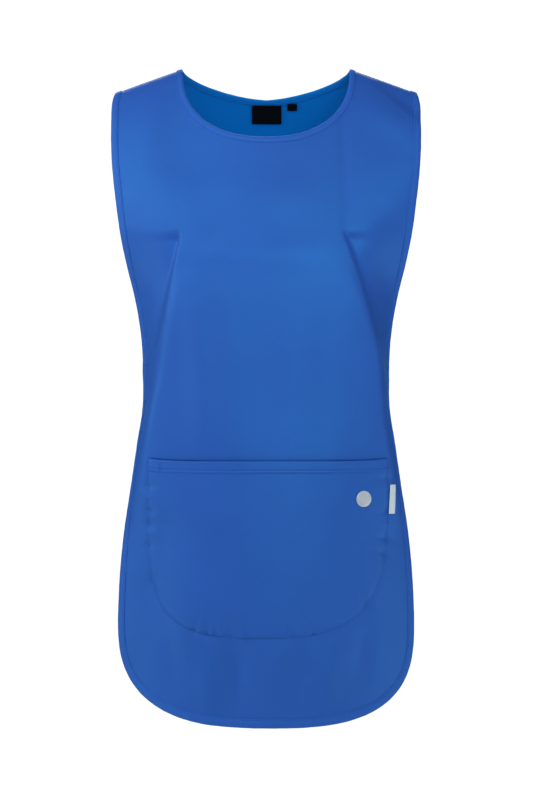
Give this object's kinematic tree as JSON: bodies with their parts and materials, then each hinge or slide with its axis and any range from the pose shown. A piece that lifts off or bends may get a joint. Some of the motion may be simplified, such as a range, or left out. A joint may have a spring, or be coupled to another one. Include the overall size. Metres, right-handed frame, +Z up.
{
  "type": "work tunic",
  "caption": "Sleeveless pull-over work tunic in plain woven cloth with a wide front patch pocket, bound edges and open sides joined at the waist by tabs, filled out as worn.",
  "frame": {"origin": "midway between the two neck points, at the level where the shoulder seams meet the neck, which is where the garment rests on a wearer", "axes": "+Z up as worn, the front faces -Y, and the wearer's left side is +X"},
  "size_m": [0.3562, 0.2397, 0.7533],
  "materials": {
    "front_cloth": "matt plain-weave polycotton",
    "back_cloth": "matt plain-weave polycotton",
    "binding_cloth": "matt plain-weave polycotton, folded and edge-stitched",
    "pocket_cloth": "matt plain-weave polycotton",
    "tab_cloth": "matt plain-weave polycotton",
    "label_cloth": "smooth woven label tape",
    "tag_cloth": "smooth woven tape",
    "badge_metal": "satin"
  },
  "bodies": {
    "root": {"front_panel": "front_cloth", "back_panel": "back_cloth", "edge_binding": "binding_cloth", "neck_binding": "binding_cloth", "front_pocket": "pocket_cloth", "side_tab_left": "tab_cloth", "side_tab_right": "tab_cloth", "neck_label": "label_cloth", "size_tag": "label_cloth", "pocket_side_tag": "tag_cloth", "round_badge": "badge_metal"}
  },
  "joints": []
}
